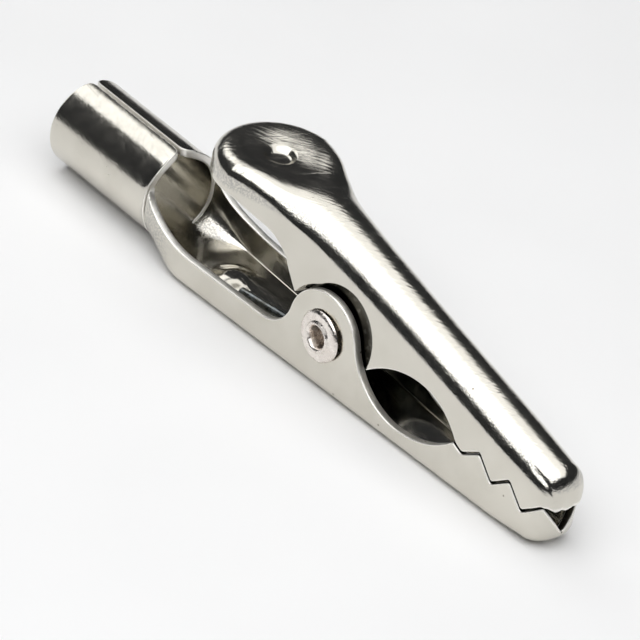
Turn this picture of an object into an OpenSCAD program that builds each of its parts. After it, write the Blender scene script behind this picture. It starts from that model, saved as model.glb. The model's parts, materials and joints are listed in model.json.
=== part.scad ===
// Alligator clip with a rolled barrel for a banana plug.
// The origin is the centre of the barrel's mouth; +X runs to the jaw tips, +Z to the thumb pad.

/* [Overall] */
// Length from the barrel's mouth to the jaw tips
clip_l = 51.6; // [47:0.1:62]
// Thickness of the sheet steel of both jaws
sheet_t = 0.6; // [0.5:0.05:0.72]

/* [Barrel] */
// Outside diameter of the rolled barrel
barrel_od = 6.65; // [5.6:0.05:7.2]
// Length of the barrel that is closed all round
barrel_l = 10.4; // [8:0.1:12.5]
// Width of the slit where the rolled edges meet
slit_w = 0.4; // [0.2:0.05:0.8]

/* [Channel] */
// Outside width of the channel where it starts
channel_w = 7.3; // [6.7:0.1:8.6]
// Distance from the end of the closed barrel to the full channel
neck_l = 5.2; // [4:0.1:6.5]
// Height of the channel's open edge above its underside
channel_h = 2.4; // [2:0.1:3.2]
// Outside radius of the bend between the floor and the walls
bend_r = 0.8; // [0.75:0.05:1.1]
// Diameter of the raised dimple in the floor
floor_dimple_d = 3; // [2.4:0.1:3.6]

/* [Pivot] */
// Distance of the pivot from the barrel's mouth
pivot_x = 29.8; // [28:0.1:31]
// Height of the pivot above the barrel's axis
pivot_z = 0.75; // [0.4:0.05:1.1]
// Radius of the round ears of the lower jaw
ear_r = 3.23; // [2.9:0.05:3.6]
// Radius of the rivet's shank
rivet_r = 1.25; // [1.05:0.05:1.5]
// Radius of the rolled rim and of the head of the rivet
rivet_head_r = 1.87; // [1.7:0.01:2.25]
// Radius of the hollow in the end of the rivet
rivet_hollow_r = 0.78; // [0.6:0.01:0.88]
// Radial clearance of the rivet in the upper jaw
pivot_clear = 0.05; // [0.03:0.01:0.1]
// Gap between the ears and the upper jaw's sunk sides
side_gap = 0.1; // [0.08:0.01:0.2]

/* [Jaws] */
// Outside width of both jaws at their tips
nose_w = 3.75; // [3.2:0.05:4.5]
// Distance from the pivot to the deepest point of the wire hollow
hollow_x = 7.95; // [7:0.05:9]
// Depth of the wire hollow below the pivot
hollow_drop = 2.65; // [2.2:0.05:3]
// Height of the wire hollow above the pivot
hollow_rise = 1.6; // [1.2:0.05:2]
// Distance between two teeth
tooth_pitch = 2.9; // [2.6:0.05:3.1]
// Height of the teeth
tooth_h = 1.25; // [0.9:0.05:1.4]
// Gap between the closed teeth
bite_gap = 0.16; // [0.1:0.01:0.3]
// Outside radius of the rounded nose
nose_r = 1.3; // [1.1:0.05:1.6]

/* [Upper jaw] */
// Radius of the round thumb pad
pad_r = 4.5; // [3.8:0.05:5.2]
// Distance of the pad's centre behind the pivot
pad_back = 10; // [9:0.1:11]
// Height of the pad's crown above the pivot
pad_top = 7.85; // [7.2:0.05:8.6]
// Height of the pad's rim edge above the pivot
pad_edge = 5.35; // [5:0.05:6]
// Half the width of the rounded roof over the wire hollow
roof_half_w = 2.2; // [1.9:0.05:2.4]
// Height of the roof's rounding
roof_rise = 1.6; // [1.2:0.05:2]
// Height of the roof's bend above the pivot
roof_bend_z = 5; // [4.6:0.05:5.4]
// Drop of the roof's bend for each millimetre forward
roof_slope = 0.222; // [0.18:0.002:0.25]

/* [Spring] */
// Wire diameter of the torsion spring
wire_d = 0.7; // [0.5:0.05:0.75]
// Gap between the spring's coil and the rivet's shank
coil_gap = 0.2; // [0.1:0.05:0.3]

/* [Hidden] */

// barrel and channel
barrel_r = barrel_od / 2;
bore_r = barrel_r - sheet_t;
base_z = -barrel_r;
floor_z = base_z + sheet_t;
edge_z = base_z + channel_h;
channel_x = barrel_l + neck_l;
opening_x = channel_x + 1.5;
opening_rise = 2.7;
lip_lean = 0.65;
lip_x = barrel_l + lip_lean;
wall_slope = (channel_w - nose_w) / 2 / (clip_l - channel_x);
high = pivot_z + pad_top + 4;
wide = 2 * pad_r + 4;

// ears and the fillet behind them
fillet_r = 2.6;
fillet_z = edge_z + fillet_r;
fillet_x = pivot_x - sqrt(pow(ear_r + fillet_r, 2) - pow(fillet_z - pivot_z, 2));

// wire hollow, measured from the pivot
hollow_rear_r = (pow(hollow_x, 2) + pow(hollow_drop, 2) - pow(ear_r, 2)) / 2 / (ear_r + hollow_drop);
hollow_front_r = 7;
roof_hollow_x = hollow_x + 0.95;
roof_hollow_rear_r = 6.7;
roof_hollow_front_r = 5.4;

// teeth, measured from the pivot; their line drops from the first tooth to the front's edge
tooth_x = 13.85;
bite_z = -0.57;
tooth_lift = tooth_h / 2;
front_z = -0.87;
notch_half_w = 1.45;
notch_depth = 1.85;
front_tooth_h = 0.8;
front_x = clip_l - pivot_x - sheet_t;
teeth = floor((front_x - tooth_x) / tooth_pitch + 0.5);
bite_slope = (bite_z + tooth_lift - front_z) / (front_x - tooth_x);

// planes of the pivot's stack, as half widths; the walls taper, so each is taken at its nearest end
side_out = half_w(pivot_x + ear_r) - sheet_t - side_gap;
side_in = side_out - sheet_t;
rivet_seat = half_w(pivot_x - rivet_head_r) + 0.02;
rim_t = 0.42;
head_t = 0.5;
hollow_depth = 2.4;
head_ball_r = 3.4;

// the sunk area of the upper jaw around the ears
sunk_x = 1.4;
sunk_z = 0.9;
sunk_r = ear_r + 0.27;
sunk_clear = 0.15;
inner_ear_r = ear_r - 0.35;

// pad
pad_x = pivot_x - pad_back;
pad_z = pivot_z + pad_top;
pad_round = 1.2;
pad_dimple_d = 2.2;
pad_dimple_depth = 0.3;
crown_drop = 0.35;
floor_dimple_h = 0.35;
edge_round = 2.2;

// spring
coil_r = rivet_r + coil_gap + wire_d / 2;
coil_turns = 2;
leg_y = side_in - wire_d / 2 - 0.15;
leg_seat = 0.12;
lower_leg_end = [channel_x + 4.2, -leg_y - 0.2, floor_z + wire_d / 2 + leg_seat];
upper_leg_end = [pad_x + 1.6, leg_y + 0.2, pad_z - crown_drop / 2 - sheet_t - wire_d / 2 - leg_seat];

steel = [0.78, 0.77, 0.73];
steel_dark = [0.68, 0.67, 0.63];
rivet_steel = [0.82, 0.77, 0.74];
spring_steel = [0.36, 0.38, 0.38];

// a number that runs from 0 to 1 with soft ends
function soft(u) = let (v = min(1, max(0, u))) v * v * (3 - 2 * v);
function mix(a, b, u) = a + (b - a) * u;

// half of the lower jaw's outside width at x
function half_w(x) =
    x < channel_x
    ? mix(barrel_r, channel_w / 2, soft((x - barrel_l) / neck_l))
    : channel_w / 2 - wall_slope * (x - channel_x);

// outline of a box with rounded corners, as [y, z] points
function corner(y, z, r, a, steps) =
    [for (i = [0:steps]) [y + r * cos(a + 90 * i / steps), z + r * sin(a + 90 * i / steps)]];
function box_ring(h, z0, z1, r, steps) = concat(
    corner(h - r, z1 - r, r, 0, steps),
    corner(-h + r, z1 - r, r, 90, steps),
    corner(-h + r, z0 + r, r, 180, steps),
    corner(h - r, z0 + r, r, 270, steps));

// outline of the upper jaw at one place: leaning walls under an elliptical roof
function roof_ring(wall_h, roof_h, z_low, z_bend, rise, steps) = concat(
    [[wall_h, z_low]],
    [for (i = [0:steps]) [roof_h * cos(180 * i / steps), z_bend + rise * sin(180 * i / steps)]],
    [[-wall_h, z_low]]);

// a solid through a list of rings, each [x, outline]
module loft(rings) {
    n = len(rings[0][1]);
    m = len(rings);
    pts = [for (s = rings) for (p = s[1]) [s[0], p[0], p[1]]];
    sides = [for (k = [0:m - 2]) for (i = [0:n - 1]) let (j = (i + 1) % n)
        each [[k * n + i, (k + 1) * n + j, k * n + j], [k * n + i, (k + 1) * n + i, (k + 1) * n + j]]];
    rear = [for (i = [0:n - 1]) i];
    front = [for (i = [0:n - 1]) m * n - 1 - i];
    polyhedron(pts, concat(sides, [rear, front]));
}

// an outline in the XZ plane, drawn through the whole width
module across(w) {
    rotate([90, 0, 0])
        linear_extrude(w, center = true)
            children();
}

// a cylinder along Y on the pivot's axis, from y0 to y1
module on_pivot(r, y0, y1) {
    translate([pivot_x, y1, pivot_z])
        rotate([90, 0, 0])
            cylinder(r = r, h = y1 - y0, $fn = 64);
}

// the lower jaw's shell, d inside its outer face
function lower_ring(x, h, lift, r, d) =
    [x, box_ring(h - d, base_z + lift + d, high + d, min(max(r - d, 0.12), h - d - 0.05), 6)];
function lower_rings(d) =
    let (r_neck = function (x) mix(barrel_r - 0.04, bend_r, soft((x - barrel_l) / neck_l)))
    let (top = function (x) mix(barrel_r, high, soft((x - barrel_l) / neck_l)))
    let (nose_x = clip_l - nose_r)
    concat(
        [for (i = [0:8])
            let (x = barrel_l + neck_l * i / 8)
            let (e = i > 0 ? d : d > 0 ? d - 0.04 : 0.03)
            [x - (i == 0 ? 0.05 : 0), box_ring(half_w(x) - e, base_z + e, top(x) - e, r_neck(x) - e, 6)]],
        [lower_ring(nose_x, half_w(nose_x), 0, bend_r, d)],
        [for (a = [22.5:22.5:90])
            lower_ring(
                nose_x + (nose_r - d) * sin(a),
                half_w(nose_x) - nose_r * (1 - cos(a)) + d * (1 - cos(a)),
                (nose_r - d) * (1 - cos(a)) * 0.7,
                bend_r,
                d)]);

// the line where the jaws meet, and a jaw's teeth along it, measured from the pivot
function bite(x) = bite_z - bite_slope * (x - tooth_x);
function tooth_line(lift) =
    [for (k = [0:2 * teeth - 1]) let (x = tooth_x + tooth_pitch * k / 2)
        [x, bite(x) + (k == 0 ? -0.7 : k % 2 == 0 ? -1 : 1) * tooth_lift + lift]];

// points on an arc, from angle a0 to angle a1
function arc(centre, r, a0, a1, steps) =
    [for (i = [0:steps]) let (a = mix(a0, a1, i / steps)) centre + r * [cos(a), sin(a)]];

// side view of the lower jaw
module lower_side() {
    pivot = [pivot_x, pivot_z];
    fillet = [fillet_x, fillet_z];
    to_ear = atan2(pivot_z - fillet_z, pivot_x - fillet_x);
    rear = pivot + [hollow_x, hollow_rear_r - hollow_drop];
    to_rear = atan2(rear[1] - pivot_z, rear[0] - pivot_x);
    front = pivot + [hollow_x, hollow_front_r - hollow_drop];
    front_end = 270 + asin((tooth_x - 0.95 - hollow_x) / hollow_front_r);
    polygon(concat(
        [[-1, base_z - 1], [-1, high], [barrel_l, high], [barrel_l, barrel_r]],
        [for (a = [180:7.5:270])
            [opening_x + (opening_x - lip_x) * cos(a),
             edge_z + opening_rise + opening_rise * sin(a)]],
        arc(fillet, fillet_r, 270, 360 + to_ear, 12),
        arc(pivot, ear_r, 180 + to_ear, to_rear, 36),
        arc(rear, hollow_rear_r, 180 + to_rear, 270, 12),
        arc(front, hollow_front_r, 272, front_end, 10),
        [for (p = tooth_line(0)) pivot + p],
        [[pivot_x + front_x, pivot_z + front_z], [clip_l + 1, pivot_z + front_z], [clip_l + 1, base_z - 1]]));
}

// the V cut in the front of the lower jaw
module front_notch() {
    translate([pivot_x + front_x - 0.2, 0, pivot_z + front_z])
        rotate([90, 0, 90])
            linear_extrude(2)
                polygon([[-notch_half_w, 0], [0, -notch_depth], [notch_half_w, 0],
                    [notch_half_w, 5], [-notch_half_w, 5]]);
}

module floor_dimple(d, lift) {
    translate([channel_x + 2.1, 0, base_z + lift])
        rotate_extrude($fn = 48)
            polygon(concat(
                [for (a = [0:15:75]) [d / 2 * cos(a), floor_dimple_h * sin(a)]],
                [[0, floor_dimple_h], [0, -sheet_t / 2], [d / 2, -sheet_t / 2]]));
}

module lower_jaw() {
    color(steel)
        difference() {
            intersection() {
                difference() {
                    union() {
                        rotate([0, 90, 0])
                            cylinder(r = barrel_r, h = barrel_l, $fn = 96);
                        loft(lower_rings(0));
                    }
                    difference() {
                        loft(lower_rings(sheet_t));
                        floor_dimple(floor_dimple_d + 1, sheet_t);
                    }
                }
                across(wide)
                    lower_side();
            }
            translate([-1, 0, 0])
                rotate([0, 90, 0])
                    cylinder(r = bore_r, h = barrel_l + 1, $fn = 96);
            floor_dimple(floor_dimple_d, 0);
            translate([-1, -slit_w / 2, 0])
                cube([channel_x, slit_w, high]);
            front_notch();
            on_pivot(rivet_r + 0.02, -wide, wide);
        }
}

// the upper jaw's shell, d inside its outer face; x is measured from the pivot
function bend_at(x) = roof_bend_z - roof_slope * x;
function ridge_at(x) = mix(pad_top - 0.1, bend_at(x) + roof_rise - 0.012 * max(0, x), soft((x + pad_back - 2) / 6));
function roof_half(x) = mix(pad_r * 0.8, roof_half_w, soft((x + pad_back - 2) / 9)) - 0.01 * max(0, x);
function wall_half(x) = mix(pad_r * 0.87, half_w(pivot_x + x), soft((x + pad_back - 2) / 5));
function upper_ring(x, inset, d) =
    let (bend = bend_at(x) - 1.5 * inset)
    let (lean = max(0, wall_half(x) - roof_half(x)) / (bend_at(x) - min(1.5, bite(x))))
    let (low = base_z - pivot_z - 2)
    [pivot_x + x,
     roof_ring(roof_half(x) + lean * (bend - low) - inset - d,
               roof_half(x) - inset - d,
               pivot_z + low,
               pivot_z + bend,
               ridge_at(x) - bend_at(x) - d,
               16)];
function upper_rings(d) =
    let (nose_x = clip_l - pivot_x - nose_r)
    let (swing = nose_r - d)
    concat(
        [for (x = [2 - pad_back, 4 - pad_back, 6 - pad_back, -2, 0, 3, 8, 14]) upper_ring(x, 0, d)],
        [upper_ring(nose_x, 0, d)],
        [for (a = [22.5:22.5:90])
            let (s = upper_ring(nose_x, swing * (1 - cos(a)), d))
            [s[0] + swing * sin(a), s[1]]]);

// side view of the upper jaw, measured from the pivot
module upper_side() {
    edge_x = 3.7 - pad_back;
    difference() {
        polygon(concat(
            [[-pad_back - pad_r - 2, high], [-pad_back - pad_r - 2, pad_edge]],
            [for (a = [90:-10:0])
                [edge_x + edge_round * cos(a), pad_edge - edge_round + edge_round * sin(a)]],
            [[-0.9 * ear_r, 0.43 * ear_r], [0, 0]],
            [[hollow_x - 3.7, -0.4], [roof_hollow_x, -2], [tooth_x - 0.65, bite(tooth_x)]],
            tooth_line(bite_gap),
            [[front_x, front_z + bite_gap], [front_x, front_z - front_tooth_h - 1]],
            [[clip_l - pivot_x + 1, front_z - front_tooth_h - 1], [clip_l - pivot_x + 1, high]]));
        intersection() {
            translate([roof_hollow_x, hollow_rise - roof_hollow_rear_r])
                circle(r = roof_hollow_rear_r, $fn = 96);
            translate([roof_hollow_x - 20, -20])
                square([20, 40]);
        }
        intersection() {
            translate([roof_hollow_x, hollow_rise - roof_hollow_front_r])
                circle(r = roof_hollow_front_r, $fn = 96);
            translate([roof_hollow_x - 0.01, -20])
                square([20, 40]);
        }
    }
    circle(r = inner_ear_r, $fn = 96);
}

// the area around the ear where the upper jaw's sides are pressed in, measured from the pivot
module sunk_area(grow) {
    circle(r = ear_r + sunk_clear + grow, $fn = 96);
    translate([sunk_x, sunk_z])
        circle(r = sunk_r + grow, $fn = 96);
}

// the thumb pad, d inside its outer face
module pad(d) {
    shoulder = [pad_r - pad_round, pad_z - crown_drop - pad_round];
    round_r = pad_round - d;
    translate([pad_x, 0, 0])
        rotate_extrude($fn = 96)
            polygon(concat(
                [[0, pivot_z + pad_edge - 1], [pad_r - d, pivot_z + pad_edge - 1]],
                [for (a = [0:15:75]) shoulder + round_r * [cos(a), sin(a)]],
                [[shoulder[0] / 2, pad_z - crown_drop / 3 - d], [0, pad_z - d]]));
}

// the round dimple pressed into the pad
module pad_dimple(grow) {
    ball_r = (pow(pad_dimple_d / 2, 2) + pow(pad_dimple_depth, 2)) / 2 / pad_dimple_depth;
    translate([pad_x, 0, pad_z - pad_dimple_depth + ball_r])
        sphere(r = ball_r + grow, $fn = 64);
}

module slab(half) {
    translate([0, -half, base_z - 2])
        cube([clip_l + 2, 2 * half, high + 8]);
}

// the triangle of the upper jaw's front that bites into the lower jaw's notch
module below_front_tooth() {
    translate([pivot_x + front_x - 0.05, 0, pivot_z + front_z + bite_gap])
        rotate([90, 0, 90])
            linear_extrude(2)
                polygon([[-wide, 0], [-notch_half_w, 0], [0, -front_tooth_h],
                    [notch_half_w, 0], [wide, 0], [wide, -6], [-wide, -6]]);
}

module at_pivot_across() {
    translate([pivot_x, 0, pivot_z])
        across(wide)
            children();
}

module upper_jaw() {
    color(steel_dark)
        difference() {
            intersection() {
                union() {
                    loft(upper_rings(0));
                    pad(0);
                }
                at_pivot_across()
                    upper_side();
            }
            difference() {
                union() {
                    loft(upper_rings(sheet_t));
                    difference() {
                        pad(sheet_t);
                        pad_dimple(sheet_t);
                    }
                }
                difference() {
                    at_pivot_across()
                        sunk_area(sheet_t);
                    slab(side_in);
                }
            }
            difference() {
                at_pivot_across()
                    sunk_area(0);
                slab(side_out);
            }
            pad_dimple(0);
            below_front_tooth();
            on_pivot(rivet_r + pivot_clear, -wide, wide);
        }
}

module pivot_rivet() {
    color(rivet_steel)
        difference() {
            union() {
                on_pivot(rivet_r, -rivet_seat - rim_t / 2, rivet_seat + head_t / 2);
                translate([pivot_x, -rivet_seat, pivot_z])
                    rotate([90, 0, 0])
                        rotate_extrude($fn = 96) {
                            square([rivet_head_r - rim_t / 2, rim_t]);
                            translate([rivet_head_r - rim_t / 2, rim_t / 2])
                                circle(r = rim_t / 2, $fn = 48);
                        }
                translate([pivot_x, rivet_seat, pivot_z])
                    rotate([-90, 0, 0])
                        intersection() {
                            cylinder(r = rivet_head_r, h = head_t, $fn = 96);
                            translate([0, 0, head_t - head_ball_r])
                                sphere(r = head_ball_r, $fn = 96);
                        }
            }
            on_pivot(rivet_hollow_r, -rivet_seat - rim_t - 1, -rivet_seat - rim_t + hollow_depth);
        }
}

// a wire through a list of points
function unit(v) = v / norm(v);
module wire(path, r) {
    sides = 10;
    m = len(path);
    loft_points = [for (k = [0:m - 1])
        let (ahead = unit(path[min(m - 1, k + 1)] - path[max(0, k - 1)]))
        let (out = unit(cross(ahead, [0, 1, 0])))
        let (up = cross(out, ahead))
        [for (i = [0:sides - 1]) path[k] + r * (cos(360 * i / sides) * out + sin(360 * i / sides) * up)]];
    pts = [for (ring = loft_points) each ring];
    skin = [for (k = [0:m - 2]) for (i = [0:sides - 1]) let (j = (i + 1) % sides)
        each [[k * sides + i, (k + 1) * sides + j, k * sides + j],
              [k * sides + i, (k + 1) * sides + i, (k + 1) * sides + j]]];
    polyhedron(pts, concat(skin, [[for (i = [0:sides - 1]) i], [for (i = [0:sides - 1]) m * sides - 1 - i]]));
}

// the angle on the coil where a straight leg to a point leaves it
function leave_angle(p, side) =
    let (dx = p[0] - pivot_x)
    let (dz = p[2] - pivot_z)
    atan2(dz, dx) + side * acos(coil_r / norm([dx, dz]));

module torsion_spring() {
    start = leave_angle(lower_leg_end, 1) - (leave_angle(lower_leg_end, 1) > 0 ? 360 : 0);
    finish = leave_angle(upper_leg_end, -1) + 360 * coil_turns;
    steps = 24 * coil_turns;
    coil = [for (i = [0:steps]) let (a = mix(start, finish, i / steps))
        [pivot_x + coil_r * cos(a), mix(-leg_y, leg_y, i / steps), pivot_z + coil_r * sin(a)]];
    color(spring_steel)
        wire(concat([lower_leg_end], coil, [upper_leg_end]), wire_d / 2);
}

lower_jaw();
upper_jaw();
pivot_rivet();
torsion_spring();
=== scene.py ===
"""The looks of an alligator clip: two sheet-steel jaws, a rolled rivet and a torsion spring."""
import json
import math

import bmesh
import bpy
import numpy as np
from mathutils import Matrix, Vector, geometry, noise


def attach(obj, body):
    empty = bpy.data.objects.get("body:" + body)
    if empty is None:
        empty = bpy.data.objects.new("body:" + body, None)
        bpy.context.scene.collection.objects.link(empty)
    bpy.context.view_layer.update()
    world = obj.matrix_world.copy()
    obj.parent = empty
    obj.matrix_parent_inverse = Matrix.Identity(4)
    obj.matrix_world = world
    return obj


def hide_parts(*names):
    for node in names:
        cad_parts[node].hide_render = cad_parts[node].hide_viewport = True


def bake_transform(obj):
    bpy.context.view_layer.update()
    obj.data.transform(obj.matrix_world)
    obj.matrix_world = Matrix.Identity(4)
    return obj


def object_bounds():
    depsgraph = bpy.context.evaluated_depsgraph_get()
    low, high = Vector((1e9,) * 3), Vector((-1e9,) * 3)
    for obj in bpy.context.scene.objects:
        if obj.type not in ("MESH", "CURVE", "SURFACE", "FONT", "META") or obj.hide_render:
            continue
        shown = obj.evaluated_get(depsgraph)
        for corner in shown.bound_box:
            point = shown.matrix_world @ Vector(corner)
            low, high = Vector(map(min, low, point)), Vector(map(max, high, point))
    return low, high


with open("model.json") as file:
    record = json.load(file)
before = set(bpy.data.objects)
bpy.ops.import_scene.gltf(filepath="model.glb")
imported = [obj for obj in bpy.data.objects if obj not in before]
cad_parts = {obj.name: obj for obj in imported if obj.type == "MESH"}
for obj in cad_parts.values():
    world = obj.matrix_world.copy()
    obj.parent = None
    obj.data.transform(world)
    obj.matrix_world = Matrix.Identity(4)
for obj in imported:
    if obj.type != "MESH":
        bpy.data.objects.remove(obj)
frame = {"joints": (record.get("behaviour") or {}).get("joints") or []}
cad_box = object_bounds()

# ---------------------------------------------------------------- sizes, in millimetres
MM = 0.001
QUARTER = math.pi / 2
CLIP_L = cad_box[1][0] / MM
PIVOT_X = frame["joints"][0]["pos_m"][0] / MM
PIVOT_Z = frame["joints"][0]["pos_m"][2] / MM
SHEET_T = 0.6
EDGE_R = 0.11
RIM_STEP = 0.16
WEAR_REACH = 0.3
ON_EDGE = 1e-3

# lower jaw: the rolled barrel, the channel and the nose
BARREL_R = 3.325
BARREL_L = 10.4
SLIT_W = 0.24
LIP_ROUND = 0.6
LIP_Z = 2.75
CHANNEL_W = 7.3
NECK_L = 5.2
CHANNEL_X = BARREL_L + NECK_L
BEND_R = 0.8
BASE_Z = -BARREL_R
EDGE_Z = BASE_Z + 2.4
WALL_TOP = 12.6  # the height of the wall before it is cut to the rim
NOSE_W = 3.75
NOSE_R = 1.3
CHIN_R = 1.9
CHIN_LIFT = 0.62
CHIN_RISE = 0.28
NOSE_X = CLIP_L - NOSE_R
CHIN_X = CLIP_L - CHIN_R
WALL_SLOPE = (CHANNEL_W - NOSE_W) / 2 / (CLIP_L - CHANNEL_X)

# lower jaw: the opening of the channel, the ears and the rivet
LIP_X = BARREL_L + 0.65
OPENING_X = CHANNEL_X + 1.5
OPENING_RISE = 2.7
EAR_R = 3.23
FILLET_R = 2.6
RIVET_R = 1.25
RIVET_HEAD_R = 1.87
PIVOT_HOLE_R = RIVET_R + 0.05

# the eye-shaped gap behind the teeth, measured from the pivot
HOLLOW_X = 7.95
HOLLOW_DROP = 2.65
HOLLOW_RISE = 1.6
HOLLOW_REAR_R = (HOLLOW_X**2 + HOLLOW_DROP**2 - EAR_R**2) / 2 / (EAR_R + HOLLOW_DROP)
HOLLOW_FRONT_R = 7.0
ROOF_HOLLOW_X = HOLLOW_X + 0.95
ROOF_HOLLOW_REAR_R = 6.7
ROOF_HOLLOW_FRONT_R = 5.4

# the teeth, measured from the pivot
TEETH = 3
TOOTH_X = 13.85
TOOTH_PITCH = 2.9
TOOTH_LIFT = 0.625
FIRST_TOOTH = 0.7
TOOTH_ROUND = 0.22
BITE_GAP = 0.22
BITE_Z = -0.57
BITE_SLOPE = 0.125
FRONT_X = 21.3
FRONT_Z = -0.9
NOTCH_HALF_W = 1.45
NOTCH_DEPTH = 1.85
FRONT_TOOTH_H = 0.8

# upper jaw: the area pressed in round the ears
SIDE_OUT = CHANNEL_W / 2 - WALL_SLOPE * (PIVOT_X + EAR_R - CHANNEL_X) - SHEET_T - 0.1
SUNK_CIRCLES = ((0.0, 0.0, EAR_R + 0.15), (1.1, 0.75, 3.32))
SUNK_STEP = 0.14
INNER_EAR_R = EAR_R - 0.35

# upper jaw: the thumb pad and the roof, measured from the pivot
PAD_R = 4.5
PAD_X = -10.0
PAD_TOP = 7.85
PAD_RIM_Z = 8.08
PAD_DISH = 0.45
PAD_EDGE = 5.35
PAD_ROUND = 1.2
PAD_DIMPLE_R = 1.2
PAD_DIMPLE_DEPTH = 0.3
ROOF_TURN = math.radians(72)
PAD_U = PAD_R * QUARTER
NOSE_U = PAD_U + NOSE_X - PIVOT_X - PAD_X

# the dimple in the channel's floor
FLOOR_DIMPLE_R = 1.9
FLOOR_DIMPLE_H = 0.35
FLOOR_DIMPLE_X = CHANNEL_X + 2.1

# the spring
WIRE_R = 0.35
COIL_R = RIVET_R + 0.2 + WIRE_R
COIL_TURNS = 2


# ---------------------------------------------------------------- small helpers
def soft(u):
    v = np.clip(u, 0.0, 1.0)
    return v * v * (3 - 2 * v)


def mix(a, b, u):
    return a + (b - a) * u


def curve_through(points):
    """A smooth function through a few [x, value] points."""
    xs, ys = np.array(points, float).T
    slopes = np.gradient(ys, xs)

    def value(x):
        x = np.clip(x, xs[0], xs[-1])
        i = np.clip(np.searchsorted(xs, x) - 1, 0, len(xs) - 2)
        step = xs[i + 1] - xs[i]
        t = (x - xs[i]) / step
        return (
            (1 + 2 * t) * (1 - t) ** 2 * ys[i]
            + t * (1 - t) ** 2 * step * slopes[i]
            + t * t * (3 - 2 * t) * ys[i + 1]
            + t * t * (t - 1) * step * slopes[i + 1]
        )

    return value


def arc(centre, r, a0, a1, steps):
    """Points on an arc, with its angles in degrees."""
    angles = np.radians(np.linspace(a0, a1, steps + 1))
    return [(centre[0] + r * math.cos(a), centre[1] + r * math.sin(a)) for a in angles]


def rounded(points, trim):
    """A line of points with each corner between its ends replaced by a small curve."""
    out = [points[0]]
    for before, corner, after in zip(points, points[1:], points[2:]):
        p, c, q = (np.array(v, float) for v in (before, corner, after))
        start = c + (p - c) * min(trim / np.linalg.norm(p - c), 0.45)
        end = c + (q - c) * min(trim / np.linalg.norm(q - c), 0.45)
        for t in (0.0, 0.33, 0.67, 1.0):
            out.append(tuple(start * (1 - t) ** 2 + 2 * t * (1 - t) * c + t * t * end))
    return out + [points[-1]]


def dense(points, step):
    """The same line with no stretch longer than step."""
    out = [np.array(points[0], float)]
    for p in points[1:]:
        p = np.array(p, float)
        n = max(1, math.ceil(np.linalg.norm(p - out[-1]) / step))
        base = out[-1]
        out += [base + (p - base) * k / n for k in range(1, n + 1)]
    return np.array(out)


def distance_to(points, lines):
    """Distance of each point from the nearest of several lines of points."""
    best = np.full(len(points), 1e9)
    for line in lines:
        for a, b in zip(line[:-1], line[1:]):
            ab = b - a
            t = np.clip((points - a) @ ab / max(ab @ ab, 1e-12), 0, 1)
            best = np.minimum(best, np.hypot(*(points - a - t[:, None] * ab).T))
    return best


def inside(points, loop):
    """True for each point inside a closed loop."""
    x, y = points.T
    hit = np.zeros(len(points), bool)
    for (x0, y0), (x1, y1) in zip(loop, np.roll(loop, -1, axis=0)):
        if y0 != y1:
            crosses = (y0 > y) != (y1 > y)
            hit ^= crosses & (x < (x1 - x0) * (y - y0) / (y1 - y0) + x0)
    return hit


# ---------------------------------------------------------------- bent sheet metal
def bent_sheet(name, surface, rim, seam, holes, fill):
    """A sheet with rounded cut edges, bent from a flat blank and mirrored across y = 0.

    The blank is drawn in its own u, w plane: rim is the cut edge, seam closes it along the mirror plane,
    and fill has points for its inside. surface(u, w, depth) gives where a point of the blank goes, in
    millimetres. The piece comes with its points, how worn each is, and whether it is on a cut edge."""
    loop = np.vstack([rim, seam[1:-1]])
    cut_edges = [rim] + [np.vstack([h, h[:1]]) for h in holes]
    insets = []
    for line in cut_edges:
        along = np.gradient(line, axis=0)
        side = np.stack([-along[:, 1], along[:, 0]], 1) / np.hypot(*along.T)[:, None]
        for share in (0.15, 0.4, 0.7, 1.0, 1.5):
            for sign in (-1, 1):
                p = line + sign * side * EDGE_R * share
                insets.append(p[distance_to(p, cut_edges) > 0.93 * EDGE_R * share])
    rows = np.vstack(insets)
    grid = fill[distance_to(fill, cut_edges) > EDGE_R * 2.1]
    free = np.vstack([rows, grid])
    keep = inside(free, loop)
    for hole in holes:
        keep &= ~inside(free, hole)
    free = free[keep & (free[:, 1] > 1e-4)]
    points = [loop] + holes + [free]
    edges = []
    start = 0
    for ring in points[:-1]:
        edges += [(start + i, start + (i + 1) % len(ring)) for i in range(len(ring))]
        start += len(ring)
    flat = [Vector(p) for p in np.vstack(points)]
    blank, _, tris, *_ = geometry.delaunay_2d_cdt(flat, edges, [], 0, 1e-5)
    blank = np.array([tuple(p) for p in blank])
    tris = np.array([t for t in tris if len(t) == 3])
    centres = blank[tris].mean(1)
    keep = inside(centres, loop)
    for hole in holes:
        keep &= ~inside(centres, hole)
    tris = tris[keep]
    used = np.unique(tris)
    renumber = np.zeros(len(blank), int)
    renumber[used] = np.arange(len(used))
    blank, tris = blank[used], renumber[tris]

    near = distance_to(blank, cut_edges)
    pull = np.clip(EDGE_R - near, 0, EDGE_R)
    depth = EDGE_R - np.sqrt(EDGE_R**2 - pull**2)
    outer = surface(blank[:, 0], blank[:, 1], depth)
    inner = surface(blank[:, 0], blank[:, 1], SHEET_T - depth)
    n = len(blank)
    pairs = np.vstack([tris[:, [0, 1]], tris[:, [1, 2]], tris[:, [2, 0]]])
    _, first, count = np.unique(np.sort(pairs, 1), axis=0, return_index=True, return_counts=True)
    border = pairs[first[count == 1]]
    border = border[(near[border] < ON_EDGE).all(1)]
    faces = [tuple(t) for t in tris] + [tuple(n + t[::-1]) for t in tris]
    faces += [(b, a, a + n, b + n) for a, b in border]
    half = np.vstack([outer, inner])
    both = np.vstack([half, half * [1, -1, 1]])
    faces += [tuple(2 * n + k for k in reversed(f)) for f in faces]
    sheet = finished_mesh(name, both, faces)
    wear = np.tile(np.clip(1 - near / WEAR_REACH, 0, 1), 4)
    cut = np.tile(near < ON_EDGE, 4)
    return sheet, both, wear, cut


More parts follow.
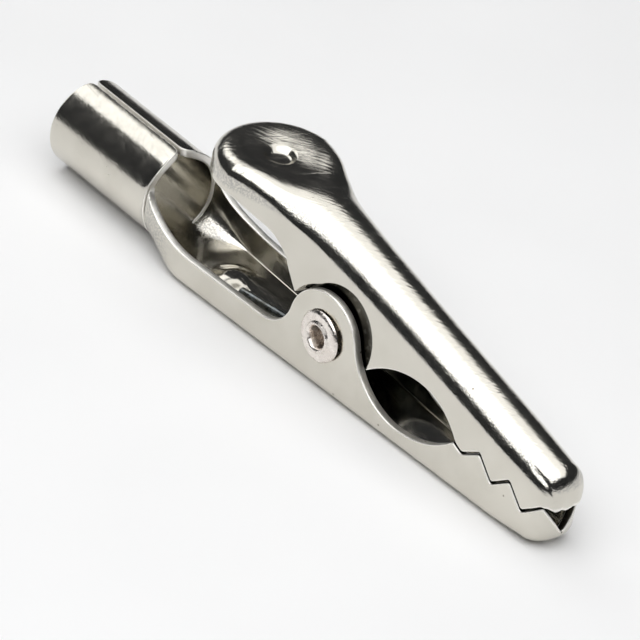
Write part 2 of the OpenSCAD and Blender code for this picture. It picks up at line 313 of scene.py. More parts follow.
def finished_mesh(name, points_mm, faces):
    mesh = bpy.data.meshes.new(name)
    points = [tuple(p) for p in np.asarray(points_mm) * MM]
    mesh.from_pydata(points, [], [tuple(int(i) for i in f) for f in faces])
    mesh.validate()
    piece = bpy.data.objects.new(name, mesh)
    bpy.context.scene.collection.objects.link(piece)
    return piece


def close_and_smooth(piece, angle):
    """Welds the mirrored halves, turns the faces outward and shades the piece smooth."""
    bm = bmesh.new()
    bm.from_mesh(piece.data)
    bmesh.ops.remove_doubles(bm, verts=bm.verts, dist=2e-6)
    bmesh.ops.dissolve_degenerate(bm, edges=bm.edges, dist=1e-6)
    bmesh.ops.recalc_face_normals(bm, faces=bm.faces)
    bm.to_mesh(piece.data)
    bm.free()
    piece.data.shade_smooth()
    piece.data.set_sharp_from_angle(angle=math.radians(angle))


def add_attribute(piece, name, values):
    layer = piece.data.attributes.new(name, "FLOAT", "POINT")
    layer.data.foreach_set("value", np.asarray(values, np.float32))


# ---------------------------------------------------------------- lower jaw
def half_w(x):
    neck = mix(BARREL_R, CHANNEL_W / 2, soft((x - BARREL_L) / NECK_L))
    return np.where(x < CHANNEL_X, neck, CHANNEL_W / 2 - WALL_SLOPE * (x - CHANNEL_X))


def nose_turn(u, nose_u, r):
    """The angle turned round the nose, and the way gone across its flat front."""
    return np.clip((u - nose_u) / r, 0, QUARTER), np.maximum(u - nose_u - r * QUARTER, 0)


def lower_column(u):
    a, across = nose_turn(u, CHIN_X, CHIN_R)
    x = np.minimum(u, CHIN_X)
    inset = CHIN_R * (1 - np.cos(a)) + across
    h = np.maximum(half_w(x) - inset, 1e-3)
    low = BASE_Z + CHIN_LIFT * inset + CHIN_RISE * soft((x - CHIN_X + 3.5) / 5)
    neck = soft((x - BARREL_L) / NECK_L)
    r = np.minimum(mix(BARREL_R, BEND_R, neck), h)
    return x + CHIN_R * np.sin(a), a, h, low, r, mix(BARREL_R, WALL_TOP, neck)


def lower_surface(u, w, d):
    x, a, h, low, r, top = lower_column(u)
    thin = d * np.cos(a)
    flat = np.maximum(h - r, 1e-6)
    wall = np.maximum(top - low - 2 * r, 0)
    rd = np.maximum(r - thin, 0.08)
    flat_d = np.maximum(h - thin - rd, 0)
    bend = np.clip((w - flat) / r, 0, QUARTER)
    over = np.clip((w - flat - r * QUARTER - wall) / r, 0, QUARTER)
    y = np.where(w < flat, flat_d * w / flat, flat_d + rd * np.sin(bend)) - rd * (1 - np.cos(over))
    z = low + thin + rd * (1 - np.cos(bend)) + np.clip(w - flat - r * QUARTER, 0, wall) + rd * np.sin(over)
    dent = np.hypot(x - FLOOR_DIMPLE_X, y) / FLOOR_DIMPLE_R
    z = z + np.where(w < flat + r, FLOOR_DIMPLE_H * soft((1 - dent) * 1.35), 0)
    return np.stack([x - d * np.sin(a), y, z], 1)


def lower_w(u, z):
    """Where on column u of the blank the wall reaches height z."""
    _, _, h, low, r, top = lower_column(u)
    start = h - r + r * QUARTER
    wall = np.maximum(top - low - 2 * r, 0)
    over = np.arcsin(np.clip((z - (top - r)) / r, 0, 1))
    return start + np.clip(z - low - r, 0, wall) + r * over


def u_of_x(x, nose_u, r):
    """The column of the blank that ends up at x, for a nose of radius r."""
    turned = math.asin(min(1.0, max(0.0, (x - CLIP_L + r) / r)))
    return nose_u + min(x - CLIP_L + r, 0) + r * turned


def bite(x):
    return BITE_Z - BITE_SLOPE * (x - TOOTH_X)


def tooth_line(lift):
    points = []
    for k in range(2 * TEETH):
        x = TOOTH_X + TOOTH_PITCH * k / 2
        side = -FIRST_TOOTH if k == 0 else -1 if k % 2 == 0 else 1
        points.append((PIVOT_X + x, PIVOT_Z + bite(x) + side * TOOTH_LIFT + lift))
    return points


def lower_rim():
    """The cut edge of the lower jaw's blank, from the barrel's mouth round to the notch in the nose."""
    slit_turn = math.acos(SLIT_W / 2 / BARREL_R)
    slit_w = BARREL_R * (QUARTER + slit_turn)
    lip_u = BARREL_L + 0.35
    barrel = [(0, 0), (0, slit_w), (BARREL_L - 0.2, slit_w), (lip_u, float(lower_w(lip_u, LIP_Z)))]
    fillet_z = EDGE_Z + FILLET_R
    fillet_x = PIVOT_X - math.sqrt((EAR_R + FILLET_R) ** 2 - (fillet_z - PIVOT_Z) ** 2)
    to_ear = math.degrees(math.atan2(PIVOT_Z - fillet_z, PIVOT_X - fillet_x))
    rear = (PIVOT_X + HOLLOW_X, PIVOT_Z + HOLLOW_REAR_R - HOLLOW_DROP)
    to_rear = math.degrees(math.atan2(rear[1] - PIVOT_Z, HOLLOW_X))
    front = (PIVOT_X + HOLLOW_X, PIVOT_Z + HOLLOW_FRONT_R - HOLLOW_DROP)
    front_end = 270 + math.degrees(math.asin((TOOTH_X - 0.95 - HOLLOW_X) / HOLLOW_FRONT_R))
    opening = [
        (OPENING_X + (OPENING_X - LIP_X) * x, EDGE_Z + OPENING_RISE * (1 + z))
        for x, z in arc((0, 0), 1, 180, 270, 16)
    ]
    wall = opening + arc((fillet_x, fillet_z), FILLET_R, 270, 360 + to_ear, 12)
    wall += arc((PIVOT_X, PIVOT_Z), EAR_R, 180 + to_ear, to_rear, 40)[1:]
    wall += arc(rear, HOLLOW_REAR_R, 180 + to_rear, 270, 14)[1:]
    wall += arc(front, HOLLOW_FRONT_R, 272, front_end, 8)
    teeth = rounded([wall[-1]] + tooth_line(0) + [(CLIP_L - 0.5, PIVOT_Z + FRONT_Z)], TOOTH_ROUND)
    wall = [(u_of_x(x, CHIN_X, CHIN_R), z) for x, z in dense(wall + teeth[1:-1], RIM_STEP)]
    nose_end = CHIN_X + CHIN_R * QUARTER + half_w(CHIN_X) - CHIN_R
    # the opening's first point isn't carried up the wall, which leaves a thin cut in the neck
    out = rounded(barrel + wall[:1], LIP_ROUND)
    out += [(u, float(lower_w(u, z))) for u, z in wall[1:]]
    for u in np.linspace(out[-1][0] + 0.1, float(nose_end), 22):
        h = float(lower_column(u)[2])
        deep = NOTCH_DEPTH * max(0.0, 1 - h / NOTCH_HALF_W)
        out.append((u, float(lower_w(u, PIVOT_Z + FRONT_Z - deep))))
    out[-1] = (out[-1][0], 0.0)
    return dense(out, RIM_STEP)


def spaced(*stretches):
    """Values along several stretches, each (start, end, step)."""
    parts = [np.arange(a, b, step) for a, b, step in stretches]
    return np.concatenate(parts + [[stretches[-1][1]]])


def lower_fill():
    points = []
    us = spaced((0.15, 9.5, 0.35), (9.5, 20.2, 0.22), (20.2, CHIN_X, 0.35), (CHIN_X, CHIN_X + 3.4, 0.14))
    for u in us:
        _, _, h, low, r, top = (float(v) for v in lower_column(u))
        flat = h - r
        floor = np.linspace(0.02, flat, max(2, round(flat / 0.3)) + 1)[:-1] if flat > 0.1 else []
        bend = flat + r * np.linspace(0, QUARTER, 15)
        wall_end = flat + r * QUARTER + max(top - low - 2 * r, 0)
        wall = np.arange(bend[-1] + 0.3, min(wall_end, bend[-1] + 8), 0.3)
        over = wall_end + r * np.linspace(0.1, QUARTER, 14) if u < CHANNEL_X else []
        points += [(u, w) for w in np.concatenate([floor, bend, wall, over])]
    return np.array(points)


def make_lower_jaw():
    rim = lower_rim()
    seam = [(u, 0.0) for u in np.arange(rim[-1][0], 0, -0.3)]
    seam = np.vstack([rim[-1], seam[1:], rim[0]])
    hole_w = float(lower_w(PIVOT_X, PIVOT_Z))
    hole = np.array(arc((PIVOT_X, hole_w), RIVET_R + 0.02, 0, 360, 48)[:-1])
    return bent_sheet("lower_jaw_sheet", lower_surface, rim, seam, [hole], lower_fill())


# ---------------------------------------------------------------- upper jaw, with x and z from the pivot
bend_width = curve_through(
    [(-10, 4.5), (-8, 4.03), (-6.2, 3.36), (-4, 2.8), (-1, 2.47), (4, 2.26), (21, 2.05)]
)
bend_height = curve_through(
    [(-10, 6.3), (-7, 6.32), (-4, 5.88), (0, 5.0), (8, 3.22), (20.5, 0.45)]
)
ridge_height = curve_through(
    [(-10, 7.85), (-7.5, 7.87), (-5.2, 7.7), (-3, 7.38), (0, 6.74), (8, 4.9), (20.5, 1.92)]
)


def upper_column(u):
    a, across = nose_turn(u, NOSE_U, NOSE_R)
    x = PAD_X + np.clip(u - PAD_U, 0, NOSE_U - PAD_U)
    inset = NOSE_R * (1 - np.cos(a)) + across
    foot = np.asarray(half_w(PIVOT_X + x))
    h = np.minimum(bend_width(x), np.where(x > 0, foot - 0.03, 9))
    foot = np.maximum(foot, h) - inset
    h = np.maximum(h - inset, 1e-3)
    bend = bend_height(x) - 1.5 * np.minimum(inset, NOSE_R) - 0.3 * across
    rise = ridge_height(x) - bend_height(x) - 0.4 * across
    slack = np.maximum(bend_height(x) - np.minimum(1.5, bite(x)), 1.0)
    return x + NOSE_R * np.sin(a), a, h, bend, rise, (foot - h) / slack


def roof_length(h, rise):
    return h + 0.48 * rise


def sunk_distance(x, z):
    """Distance outside the pressed-in area round the ears, negative inside it."""
    return np.minimum(*(np.hypot(x - cx, z - cz) - r for cx, cz, r in SUNK_CIRCLES))


def upper_surface(u, w, d):
    x, a, h, bend, rise, lean = upper_column(u)
    thin = d * np.cos(a)
    length = roof_length(h, rise)
    t = np.clip(w / length, 0, 1)
    roof = soft((x + 8.2) / 4.2)
    # the pad: a shallow dish and then a quarter round
    crown = h - PAD_ROUND
    share = crown / (crown + PAD_ROUND * QUARTER)
    turn = np.clip((t - share) / (1 - share), 0, 1) * QUARTER
    pad_y = np.where(t < share, crown * t / share, crown + (PAD_ROUND - thin) * np.sin(turn))
    dish = PAD_DISH * (1 + np.cos(np.pi * np.clip(pad_y / np.maximum(crown, 1e-6), 0, 1))) / 2
    open_front = soft((x - PAD_X - 0.3) / 3.0)
    crest = mix(PAD_RIM_Z - PAD_TOP, 0.0, open_front)
    pad_z = rise + crest - dish * mix(1, 0.5, open_front) - thin - (PAD_ROUND - thin) * (1 - np.cos(turn))
    # the roof: part of an ellipse, which meets the wall in a crease
    roof_y = np.maximum(h - thin, 0) * np.sin(t * ROOF_TURN) / math.sin(ROOF_TURN)
    crest_z = np.maximum(rise - thin, 0.02)
    roof_z = crest_z * (np.cos(t * ROOF_TURN) - math.cos(ROOF_TURN)) / (1 - math.cos(ROOF_TURN))
    # a short crease at each corner of the nose
    crease_t = 0.68 + 0.08 * soft((u - NOSE_U) / 1.6)
    crease = np.exp(-(((t - crease_t) / 0.05) ** 2)) * soft((u - NOSE_U + 1.3) / 0.8)
    roof_z = roof_z - 0.09 * crease * soft((NOSE_U + 2.0 - u) / 0.6)
    drop = np.maximum(w - length, 0)
    out = mix(pad_y, roof_y, roof) + lean * drop
    z = bend + mix(pad_z, roof_z, roof) - drop
    sunk = soft(1 + (d - sunk_distance(x, z)) / SUNK_STEP) * (drop > 0)
    out = mix(out, SIDE_OUT - d, sunk)
    turned = np.clip(u / PAD_R, 0, QUARTER)
    px = x - out * np.cos(turned) - d * np.sin(a)
    py = out * np.sin(turned)
    dent = np.hypot(px - PAD_X, py) / PAD_DIMPLE_R
    z = z - np.where(w < length, PAD_DIMPLE_DEPTH * soft((1 - dent) * 2.6), 0)
    return np.stack([PIVOT_X + px, py, PIVOT_Z + z], 1)


def upper_w(u, z):
    _, _, h, bend, rise, _ = upper_column(u)
    return roof_length(h, rise) + bend - z


def upper_rim():
    """The cut edge of the upper jaw's blank, from the back of the pad round to the front tooth."""
    skirt_edge = curve_through([(PAD_X, PAD_EDGE), (-8.6, 5.12), (-7.2, 4.86), (-6.1, 4.52), (-5.2, 4.02)])
    skirt = [(x, float(skirt_edge(x))) for x in np.linspace(PAD_X + 0.01, -5.2, 16)]
    skirt += [(-4.55, 3.45), (-4.05, 2.72), (-3.45, 2.0)]
    ear = arc((0, 0), INNER_EAR_R, 156, 340, 40)
    rear_c = (ROOF_HOLLOW_X, HOLLOW_RISE - ROOF_HOLLOW_REAR_R)
    front_c = (ROOF_HOLLOW_X, HOLLOW_RISE - ROOF_HOLLOW_FRONT_R)
    hollow = arc(rear_c, ROOF_HOLLOW_REAR_R, 133, 90, 12) + arc(front_c, ROOF_HOLLOW_FRONT_R, 88, 40, 10)
    teeth = [(x - PIVOT_X, z - PIVOT_Z) for x, z in tooth_line(BITE_GAP)]
    heel = (TOOTH_X - 0.65, bite(TOOTH_X - 0.65))
    teeth = rounded([hollow[-1], heel] + teeth + [(FRONT_X, FRONT_Z + BITE_GAP)], TOOTH_ROUND)
    wall = dense(skirt + ear + hollow + teeth[1:-1], RIM_STEP)
    rim = [(u, float(upper_w(u, PAD_EDGE))) for u in np.arange(0, PAD_U, 0.2)]
    for x, z in wall:
        u = u_of_x(x + PIVOT_X, NOSE_U, NOSE_R)
        rim.append((u, float(upper_w(u, z))))
    nose_end = NOSE_U + NOSE_R * QUARTER + float(upper_column(NOSE_U)[2]) - NOSE_R
    for u in np.linspace(rim[-1][0] + 0.1, nose_end, 22):
        h = float(upper_column(u)[2])
        deep = FRONT_TOOTH_H * max(0.0, 1 - h / NOTCH_HALF_W)
        rim.append((u, float(upper_w(u, FRONT_Z + BITE_GAP - deep))))
    return dense(rim, RIM_STEP)


def upper_fill():
    points = []
    us = spaced(
        (0.25, PAD_U, 0.25), (PAD_U, PAD_U + 1.6, 0.1), (PAD_U + 1.6, PAD_U + 6, 0.2),
        (PAD_U + 6, NOSE_U, 0.3), (NOSE_U, NOSE_U + 2.7, 0.13),
    )
    for u in us:
        _, _, h, _, rise, _ = (float(v) for v in upper_column(u))
        length = roof_length(h, rise)
        if u < PAD_U + 1.6:  # finer round the dimple
            roof = spaced((0.03, 1.7, 0.11), (1.7, length, 0.16))
        else:
            roof = np.linspace(0.03, length, 22)
        points += [(u, w) for w in roof]
        points += [(u, w) for w in np.arange(length + 0.15, length + 7.5, 0.3)]
    step_rows = (-0.12, 0.0, 0.03, 0.06, 0.09, 0.12, 0.16, 0.22, 0.35, 0.5, 0.6, 0.65, 0.7, 0.75, 0.82)
    for offset in step_rows:
        for cx, cz, r in SUNK_CIRCLES:
            for x, z in arc((cx, cz), r + offset, -60, 220, 130):
                if sunk_distance(x, z) > offset - 1e-3:
                    u = u_of_x(x + PIVOT_X, NOSE_U, NOSE_R)
                    w = float(upper_w(u, z))
                    if w > float(roof_length(*(upper_column(u)[i] for i in (2, 4)))) + 0.05:
                        points.append((u, w))
    return np.array(points)


def make_upper_jaw():
    rim = upper_rim()
    ridge = np.arange(rim[-1][0], PAD_U, -0.25)
    back = np.arange(0.1, rim[0][1], 0.15)
    seam = np.vstack([
        rim[-1],
        [(rim[-1][0], w) for w in np.arange(rim[-1][1] - 0.15, 0.05, -0.15)],
        [(u, 0.0) for u in ridge],
        [(u, 0.0) for u in np.arange(PAD_U, -0.01, -0.25)],
        [(0.0, w) for w in back],
        rim[0],
    ])
    hole_u = PAD_U - PAD_X
    hole_w = float(upper_w(hole_u, 0.0))
    hole = np.array(arc((hole_u, hole_w), PIVOT_HOLE_R, 0, 360, 48)[:-1])
    return bent_sheet("upper_jaw_sheet", upper_surface, rim, seam, [hole], upper_fill())


# ---------------------------------------------------------------- rivet and spring
def make_rivet():
    """A revolved rivet: rolled rim towards -Y, domed head towards +Y. Its rim is slightly uneven."""
    seat = float(half_w(PIVOT_X - RIVET_HEAD_R)) + 0.02
    # radius, and height from the ear's face: the hollow, the rolled lip, the flat rim and the shank
    rolled_side = [
        (0.0, 1.9), (0.42, 1.85), (0.6, 1.6), (0.66, 0.7), (0.72, 0.1),
        (0.78, -0.18), (0.84, -0.32), (0.92, -0.40), (1.0, -0.41), (1.07, -0.36), (1.13, -0.27),
        (1.2, -0.24), (1.38, -0.27), (1.58, -0.26), (1.72, -0.20), (1.81, -0.12),
        (RIVET_HEAD_R - 0.02, -0.04), (RIVET_HEAD_R - 0.05, 0.005), (RIVET_R + 0.05, 0.005), (RIVET_R, 0.1),
    ]
    profile = [(r, rise - seat) for r, rise in rolled_side]
    profile += [(RIVET_R, seat - 0.1), (RIVET_R + 0.05, seat - 0.005), (RIVET_HEAD_R - 0.06, seat - 0.005)]
    for a in np.linspace(-0.2, QUARTER, 12):
        profile.append((RIVET_HEAD_R * math.cos(a), seat + 0.1 + 0.4 * math.sin(a)))
    profile[-1] = (0.0, profile[-1][1])
    sides = 96
    points, faces = [], []
    for r, y in profile:
        for k in range(sides):
            a = 2 * math.pi * k / sides
            rough = noise.noise(Vector((math.cos(a) * 2.2, math.sin(a) * 2.2, y * 0.7)))
            rolled = y < -seat + 0.05 and r > 0.7
            r_here = r * (1 + (0.035 * rough if rolled else 0.0))
            y_here = y - (0.05 * abs(rough) if rolled and r < RIVET_HEAD_R * 0.97 else 0.0)
            points.append((PIVOT_X + r_here * math.cos(a), y_here, PIVOT_Z + r_here * math.sin(a)))
    for i in range(len(profile) - 1):
        for k in range(sides):
            j = (k + 1) % sides
            faces.append((i * sides + k, i * sides + j, (i + 1) * sides + j, (i + 1) * sides + k))
    piece = finished_mesh("rivet_rolled", points, faces)
    close_and_smooth(piece, 50)
    return piece


def tube(name, path, r, sides=16):
    """A round wire along a path, with rounded ends."""
    path = [np.array(p, float) for p in path]
    points, faces = [], []
    rings = [(path[0], 0.35), (path[0], 0.8)] + [(p, 1.0) for p in path] + [(path[-1], 0.8), (path[-1], 0.35)]
    for i, (p, size) in enumerate(rings):
        k = min(max(i - 2, 0), len(path) - 1)
        ahead = path[min(len(path) - 1, k + 1)] - path[max(0, k - 1)]
        ahead = ahead / np.linalg.norm(ahead)
        out = np.cross(ahead, (0, 1, 0))
        out = out / np.linalg.norm(out)
        up = np.cross(out, ahead)
        shift = r * (1 - size) * (-1 if i < 2 else 1 if i >= len(rings) - 2 else 0) * 0.6
        for k in range(sides):
            a = 2 * math.pi * k / sides
            points.append(p + ahead * shift + size * r * (math.cos(a) * out + math.sin(a) * up))
    for i in range(len(rings) - 1):
        for k in range(sides):
            j = (k + 1) % sides
            faces.append((i * sides + k, i * sides + j, (i + 1) * sides + j, (i + 1) * sides + k))
    faces += [tuple(range(sides)), tuple((len(rings) - 1) * sides + k for k in reversed(range(sides)))]
    piece = finished_mesh(name, points, faces)
    close_and_smooth(piece, 50)
    return piece


def make_spring():
    leg_y = SIDE_OUT - SHEET_T - WIRE_R - 0.15
    low_end = np.array([CHANNEL_X + 4.2, -leg_y - 0.2, BASE_Z + SHEET_T + WIRE_R + 0.12])
    under_pad = PIVOT_Z + PAD_TOP - 0.175 - SHEET_T
    high_end = np.array([PIVOT_X + PAD_X + 1.6, leg_y + 0.2, under_pad - WIRE_R - 0.12])
    pivot = np.array([PIVOT_X, 0, PIVOT_Z])

    def leave_angle(end, side):
        dx, dz = (end - pivot)[[0, 2]]
        return math.atan2(dz, dx) + side * math.acos(COIL_R / math.hypot(dx, dz))

    start = leave_angle(low_end, 1)
    start -= 2 * math.pi if start > 0 else 0
    finish = leave_angle(high_end, -1) + 2 * math.pi * COIL_TURNS
    coil = []
    for t in np.linspace(0, 1, 120):
        a = mix(start, finish, t)
        coil.append((PIVOT_X + COIL_R * math.cos(a), mix(-leg_y, leg_y, t), PIVOT_Z + COIL_R * math.sin(a)))
    low_leg = list(np.linspace(low_end, coil[0], 24)[:-1])
    high_leg = list(np.linspace(coil[-1], high_end, 24)[1:])
    path = low_leg + coil + high_leg
    return tube("spring_wire", path, WIRE_R), leg_y


# ---------------------------------------------------------------- materials
class Nodes:
    """A short way to write a material's node tree."""

    def __init__(self, name):
        self.material = bpy.data.materials.new(name)
        self.material.use_nodes = True
        self.tree = self.material.node_tree
        self.shader = self.tree.nodes["Principled BSDF"]
        self.place = self.add("ShaderNodeTexCoord").outputs["Object"]

    def add(self, kind, **settings):
        node = self.tree.nodes.new(kind)
        for key, value in settings.items():
            setattr(node, key, value)
        return node

    def link(self, source, target):
        self.tree.links.new(source, target)

    def noise(self, scale, detail=3.0, stretch=(1, 1, 1)):
        """A noise texture with scale in cycles per millimetre, stretched along the axes."""
        mapping = self.add("ShaderNodeMapping")
        mapping.inputs["Scale"].default_value = [s * scale / MM for s in stretch]
        self.link(self.place, mapping.inputs["Vector"])
        texture = self.add("ShaderNodeTexNoise")
        texture.inputs["Scale"].default_value = 1.0
        texture.inputs["Detail"].default_value = detail
        self.link(mapping.outputs["Vector"], texture.inputs["Vector"])
        return texture.outputs["Fac"]

    def streaks(self, across, along, angle, detail=3.0):
        """Fine lines lying in the x, y plane at an angle from x, with their cycles per millimetre."""
        mapping = self.add("ShaderNodeMapping", vector_type="TEXTURE")
        mapping.inputs["Rotation"].default_value = (0, 0, math.radians(angle))
        mapping.inputs["Scale"].default_value = [MM / s for s in (along, across, across)]
        self.link(self.place, mapping.inputs["Vector"])
        texture = self.add("ShaderNodeTexNoise")
        texture.inputs["Scale"].default_value = 1.0
        texture.inputs["Detail"].default_value = detail
        self.link(mapping.outputs["Vector"], texture.inputs["Vector"])
        return texture.outputs["Fac"]

    def spots(self, scale, size):
        """Small round spots: 1 inside a spot, 0 outside."""
        mapping = self.add("ShaderNodeMapping")
        mapping.inputs["Scale"].default_value = [scale / MM] * 3
        self.link(self.place, mapping.inputs["Vector"])
        cells = self.add("ShaderNodeTexVoronoi")
        self.link(mapping.outputs["Vector"], cells.inputs["Vector"])
        cells.inputs["Scale"].default_value = 1.0
        return self.ramp(cells.outputs["Distance"], size * 0.6, size, 1.0, 0.0)

    def ramp(self, value, low, high, out_low=0.0, out_high=1.0):
        node = self.add("ShaderNodeMapRange")
        node.interpolation_type = "SMOOTHSTEP"
        ends = {"From Min": low, "From Max": high, "To Min": out_low, "To Max": out_high}
        for key, number in ends.items():
            node.inputs[key].default_value = number
        self.link(value, node.inputs["Value"])
        return node.outputs["Result"]

    def math(self, operation, a, b):
        node = self.add("ShaderNodeMath", operation=operation)
        for socket, value in zip(node.inputs, (a, b)):
            if isinstance(value, (int, float)):
                socket.default_value = value
            else:
                self.link(value, socket)
        return node.outputs["Value"]

    def blend(self, share, a, b):
        """Colour a where share is 0 and b where it is 1."""
        node = self.add("ShaderNodeMix", data_type="RGBA")
        if isinstance(share, (int, float)):
            node.inputs["Factor"].default_value = share
        else:
            self.link(share, node.inputs["Factor"])
        for index, value in ((6, a), (7, b)):
            if isinstance(value, tuple):
                node.inputs[index].default_value = (*value, 1)
            else:
                self.link(value, node.inputs[index])
        return node.outputs[2]

    def attribute(self, name):
        return self.add("ShaderNodeAttribute", attribute_name=name).outputs["Fac"]

    def bump(self, height, distance_mm, strength=1.0, under=None):
        node = self.add("ShaderNodeBump")
        node.inputs["Strength"].default_value = strength
        node.inputs["Distance"].default_value = distance_mm * MM
        self.link(height, node.inputs["Height"])
        if under is not None:
            self.link(under, node.inputs["Normal"])
        return node.outputs["Normal"]

    def finish(self, colour, roughness, normal, metallic=1.0):
        self.shader.inputs["Metallic"].default_value = metallic
        for value, key in ((colour, "Base Color"), (roughness, "Roughness"), (normal, "Normal")):
            self.link(value, self.shader.inputs[key])
        return self.material


NICKEL = (0.67, 0.645, 0.58)
NICKEL_DULL = (0.57, 0.545, 0.48)
BARE_EDGE = (0.94, 0.92, 0.87)
SPECKLE = (0.30, 0.30, 0.30)
GRIME = (0.16, 0.145, 0.10)
# near black: painted shade in the upper jaw's pressed pocket, and the darkening of the teeth's cut edges and
# the channel's floor
PAINTED_SHADE_AND_DARK = (0.022, 0.020, 0.015)


def sheet_metal(name, brush_angle, brush_depth, dull):
    """Nickel plate on sheet steel: clouded, brushed where worked, bright and burred at the cut edges."""
    n = Nodes(name)
    worked = n.attribute("worked")
    wear = n.attribute("wear")
    edge = n.ramp(wear, 0.55, 0.9)
    bend = n.math("SUBTRACT", n.ramp(worked, 0.05, 0.3), n.ramp(worked, 0.5, 0.65))
    brushed = n.ramp(worked, 0.55, 0.95)
    clouds = n.ramp(n.noise(0.35, 5), 0.35, 0.7)
    grain = n.noise(7.0, 2)
    hairs = n.streaks(5.5, 0.35, brush_angle)
    scratches = n.ramp(n.streaks(3.0, 0.22, brush_angle + 37, 2), 0.60, 0.72)
    pits = n.math("MULTIPLY", n.spots(0.8, 0.085), n.ramp(n.noise(0.5, 1), 0.5, 0.62))
    colour = n.blend(n.math("MULTIPLY", clouds, dull), NICKEL, NICKEL_DULL)
    specks = n.math("MULTIPLY", bend, n.ramp(n.noise(9.0, 1), 0.4, 0.6))
    colour = n.blend(n.math("MULTIPLY", specks, 0.6), colour, SPECKLE)
    colour = n.blend(edge, colour, BARE_EDGE)
    colour = n.blend(n.math("MULTIPLY", pits, 0.75), colour, GRIME)
    # painted shade: near black where the attribute says, for the shade in the pressed pocket beside the ears;
    # the teeth's cut edges and the channel's floor are darkened by the same attribute
    shade_share = n.math("MULTIPLY", n.attribute("painted_shade_and_darkening"), n.ramp(n.noise(2.2, 4), 0.2, 0.5, 0.86, 1.0))
    colour = n.blend(shade_share, colour, PAINTED_SHADE_AND_DARK)
    rough = n.ramp(n.noise(1.4, 5), 0.3, 0.7, 0.12, 0.18)
    rough = n.math("ADD", rough, n.math("MULTIPLY", n.math("MULTIPLY", hairs, brushed), 0.08))
    rough = n.math("ADD", rough, n.math("MULTIPLY", scratches, 0.06))
    rough = n.math("ADD", rough, n.math("MULTIPLY", edge, 0.28))
    fine = n.bump(grain, 0.004, 0.30)
    mottle = n.bump(n.math("MULTIPLY", n.noise(8.0, 2), bend), 0.016, 0.8, fine)
    waves = n.bump(n.noise(1.1, 3), 0.018, 0.35, mottle)
    lines = n.math("MULTIPLY", n.math("ADD", hairs, n.math("MULTIPLY", scratches, 0.35)), brushed)
    brush = n.bump(lines, brush_depth, 0.85, waves)
    burr = n.bump(n.math("MULTIPLY", n.noise(4.0, 3, (1, 0.3, 0.35)), edge), 0.06, 0.8, brush)
    return n.finish(colour, rough, burr)


def rivet_metal():
    n = Nodes("rivet_plate")
    clouds = n.ramp(n.noise(1.1, 5), 0.35, 0.68)
    colour = n.blend(clouds, (0.86, 0.81, 0.76), (0.76, 0.70, 0.65))
    nicks = n.ramp(n.noise(4.5, 3, (1, 0.5, 1)), 0.6, 0.72)
    colour = n.blend(n.math("MULTIPLY", nicks, 0.4), colour, (0.32, 0.26, 0.22))
    rough = n.ramp(n.noise(3.0, 4), 0.3, 0.7, 0.16, 0.34)
    bumps = n.bump(n.noise(3.5, 4), 0.05, 0.6)
    return n.finish(colour, rough, bumps)


def spring_steel():
    n = Nodes("spring_wire_steel")
    drawn = n.noise(5.0, 3, (0.25, 1, 0.6))
    colour = n.blend(n.ramp(n.noise(1.5, 4), 0.35, 0.7), (0.30, 0.33, 0.34), (0.17, 0.17, 0.15))
    rough = n.ramp(drawn, 0.3, 0.7, 0.22, 0.4)
    return n.finish(colour, rough, n.bump(drawn, 0.02, 0.5))


def paint(piece, material):
    piece.data.materials.clear()
    piece.data.materials.append(material)


# ---------------------------------------------------------------- pieces
def dress_sheet(made, worked_of, painted_shade_and_darkening_of, material):
    piece, points, wear, cut = made
    add_attribute(piece, "wear", wear)
    add_attribute(piece, "worked", worked_of(points))
    # the teeth's cut edges are made near black through the same attribute as the painted shade
    toothed = cut * soft((points[:, 0] - PIVOT_X - 12) / 0.5)
    add_attribute(piece, "painted_shade_and_darkening", np.maximum(painted_shade_and_darkening_of(points), toothed))
    close_and_smooth(piece, 42)
    paint(piece, material)
    return piece


def lower_worked(points):
    """The rolled barrel is brushed by its forming; the flat walls are not."""
    return soft(1.5 - points[:, 0] / (BARREL_L + 1)) * (points[:, 2] > BASE_Z + 0.4)


def upper_worked(points):
    """The roof and the pad are brushed; the flat walls under the bend are not."""
    above = points[:, 2] - PIVOT_Z - bend_height(points[:, 0] - PIVOT_X)
    return 0.5 * soft(above / 0.8 + 0.3) + 0.5 * soft((above - 0.7) / 1.2)


def lower_floor_darkening(points):
    """A little darker on the channel's floor, more so towards the barrel."""
    on_floor = (np.abs(points[:, 1]) < 2.2) * (points[:, 2] < EDGE_Z)
    return 0.25 * soft((FLOOR_DIMPLE_X + 1 - points[:, 0]) / 6) * on_floor


def upper_painted_shade(points):
    """Painted shade: the pressed area beside the ears of the lower jaw is painted near black, a little less
    so away from the ears.
    """
    x, z = points[:, 0] - PIVOT_X, points[:, 2] - PIVOT_Z
    pressed = soft(1 - (sunk_distance(x, z) - 0.02) / 0.12) * (np.abs(points[:, 1]) > SIDE_OUT - 0.9)
    return pressed * mix(1.0, 0.72, soft((np.hypot(x, z) - EAR_R - 0.5) / 1.2))


lower_nickel = sheet_metal("lower_jaw_nickel", -49, 0.012, 0.5)
upper_nickel = sheet_metal("upper_jaw_nickel", 34, 0.026, 0.35)
lower = dress_sheet(make_lower_jaw(), lower_worked, lower_floor_darkening, lower_nickel)
upper = dress_sheet(make_upper_jaw(), upper_worked, upper_painted_shade, upper_nickel)
rivet = make_rivet()
paint(rivet, rivet_metal())
spring, leg_y = make_spring()
paint(spring, spring_steel())

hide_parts("lower_jaw")
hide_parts("upper_jaw")
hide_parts("pivot_rivet")
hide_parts("torsion_spring")
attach(lower, "lower_jaw")
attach(upper, "upper_jaw")
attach(rivet, "lower_jaw")
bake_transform(spring)


# ---------------------------------------------------------------- studio, in metres and degrees
FLOOR_SIZE = 1.6
SOFTBOX_HEIGHT = 0.45
CAMERA_AZIMUTH = 44.09
CAMERA_ELEVATION = 32.12
CAMERA_ROLL = -11.49
CAMERA_DISTANCE = 0.300
CAMERA_LENS = 253.1
CAMERA_SHIFT = (-0.0545, 0.0084)


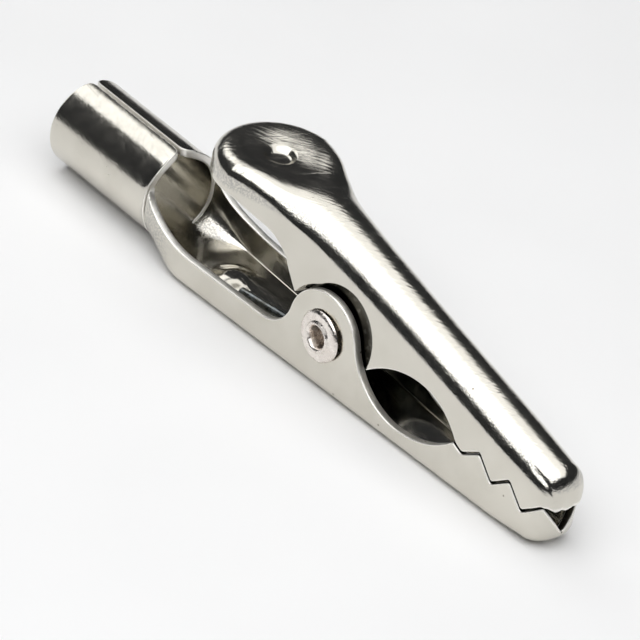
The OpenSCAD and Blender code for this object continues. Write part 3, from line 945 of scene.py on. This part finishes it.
def make_floor():
    bpy.ops.mesh.primitive_plane_add(size=FLOOR_SIZE, location=(PIVOT_X * MM, 0, (BASE_Z - 0.01) * MM))
    floor = bpy.context.object
    floor.name = "studio_floor"
    n = Nodes("studio_floor_paint")
    colour = n.blend(n.ramp(n.noise(0.05, 2), 0.3, 0.7), (0.90, 0.90, 0.90), (0.88, 0.88, 0.88))
    rough = n.ramp(n.noise(0.2, 2), 0.3, 0.7, 0.85, 0.95)
    paint(floor, n.finish(colour, rough, n.bump(n.noise(1, 2), 0.001), 0.0))


def overhead(name, x0, x1, y0, y1, radiance):
    """A level softbox over the clip. Its sides are given as slopes from the clip's middle."""
    light = bpy.data.lights.new(name, "AREA")
    light.shape = "RECTANGLE"
    light.size = (x1 - x0) * SOFTBOX_HEIGHT
    light.size_y = (y1 - y0) * SOFTBOX_HEIGHT
    light.energy = radiance * math.pi * light.size * light.size_y
    lamp = bpy.data.objects.new(name, light)
    middle = Vector(((x0 + x1) / 2, (y0 + y1) / 2, 1)) * SOFTBOX_HEIGHT
    lamp.location = Vector((PIVOT_X * MM, 0, 0)) + middle
    bpy.context.scene.collection.objects.link(lamp)


def make_world(colour, strength):
    world = bpy.data.worlds.new("studio_dim")
    world.use_nodes = True
    background = world.node_tree.nodes["Background"]
    background.inputs["Color"].default_value = (*colour, 1)
    background.inputs["Strength"].default_value = strength
    bpy.context.scene.world = world


def make_camera():
    """A long lens from the front left, tilted so that the clip lies across the picture."""
    azimuth, elevation, roll = (math.radians(v) for v in (CAMERA_AZIMUTH, CAMERA_ELEVATION, CAMERA_ROLL))
    right = Vector((math.cos(azimuth), math.sin(azimuth), 0))
    away = Vector((-math.sin(azimuth), math.cos(azimuth), 0))
    up = away * math.sin(elevation) + Vector((0, 0, math.cos(elevation)))
    back = right.cross(up)
    turned_right = math.cos(roll) * right - math.sin(roll) * up
    turned_up = math.sin(roll) * right + math.cos(roll) * up
    data = bpy.data.cameras.new("camera")
    data.sensor_width = 36
    data.lens = CAMERA_LENS
    data.shift_x, data.shift_y = CAMERA_SHIFT
    data.clip_start = 0.01
    camera = bpy.data.objects.new("camera", data)
    bpy.context.scene.collection.objects.link(camera)
    place = Vector((PIVOT_X, 0, PIVOT_Z)) * MM + back * CAMERA_DISTANCE
    turn = Matrix((turned_right, turned_up, back)).transposed().to_4x4()
    camera.matrix_world = Matrix.Translation(place) @ turn
    bpy.context.scene.camera = camera


make_floor()
make_world((0.60, 0.62, 0.66), 0.05)
overhead("front_ceiling_softbox", -0.65, 1.30, -1.35, 0.05, 2.2)
overhead("rear_ceiling_softbox", -0.65, 1.30, 0.05, 0.65, 1.35)
overhead("rear_left_softbox", -1.90, -0.75, -0.25, 0.55, 1.7)
make_camera()
bpy.context.scene.view_settings.view_transform = "Standard"
